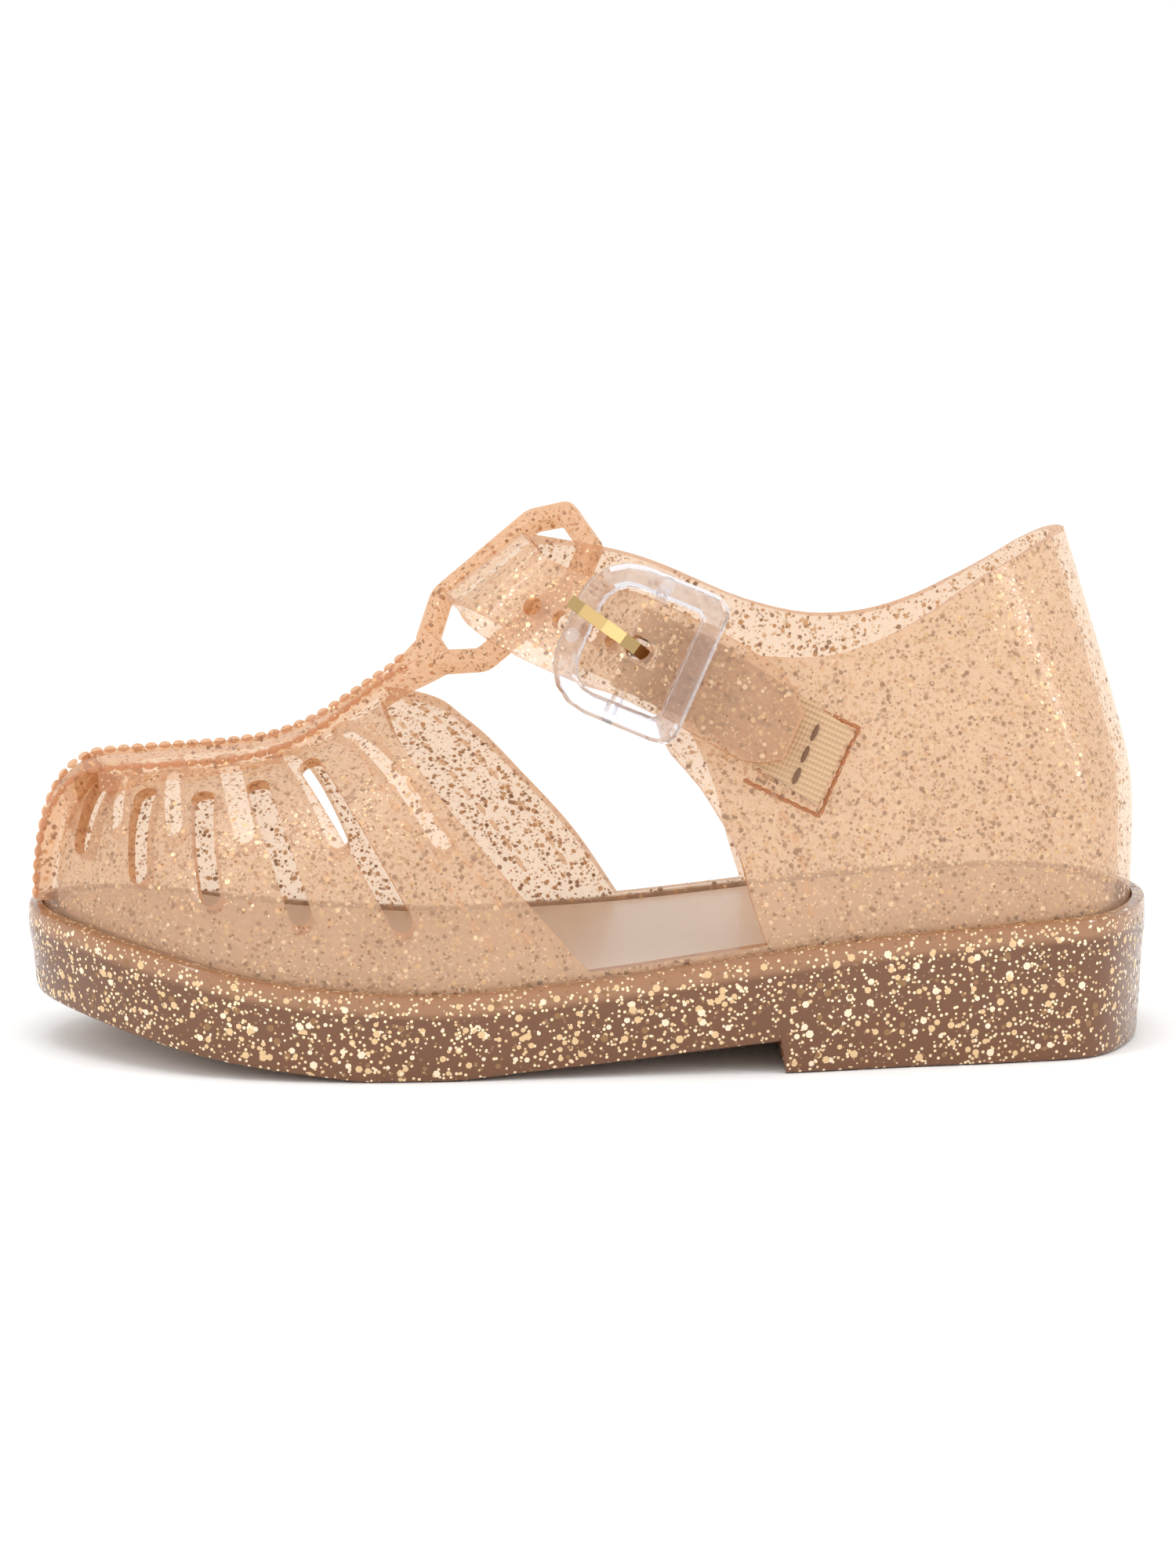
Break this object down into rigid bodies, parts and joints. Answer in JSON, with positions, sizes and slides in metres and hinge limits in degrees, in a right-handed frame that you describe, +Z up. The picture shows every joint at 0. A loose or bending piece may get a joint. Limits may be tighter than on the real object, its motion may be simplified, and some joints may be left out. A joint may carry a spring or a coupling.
{
  "type": "jelly sandal",
  "caption": "Toddler jelly sandal for the left foot: moulded cage upper with T-bar and buckled ankle strap on a thick sole with a low heel.",
  "frame": {"origin": "on the floor, under the middle of the sole's length and width", "axes": "+X from toe to heel, -Y to the outer (buckle) side of the left foot, +Z up"},
  "size_m": [0.15, 0.0621, 0.0717],
  "materials": {
    "sole_jelly": "glossy translucent brown soft plastic with pale gold glitter",
    "upper_jelly": "glossy translucent peach soft plastic with gold and dark glitter",
    "insole_sheet": "satin taupe with a fine metallic grain",
    "clear_plastic": "clear colourless gloss plastic",
    "gold_metal": "polished pale gold",
    "tan_elastic": "tan ribbed elastic with brown stitching"
  },
  "bodies": {
    "root": {"outsole": "sole_jelly", "upper": "upper_jelly", "insole": "insole_sheet", "buckle_frame": "clear_plastic", "buckle_prong": "gold_metal", "elastic_tab": "tan_elastic"}
  },
  "joints": []
}
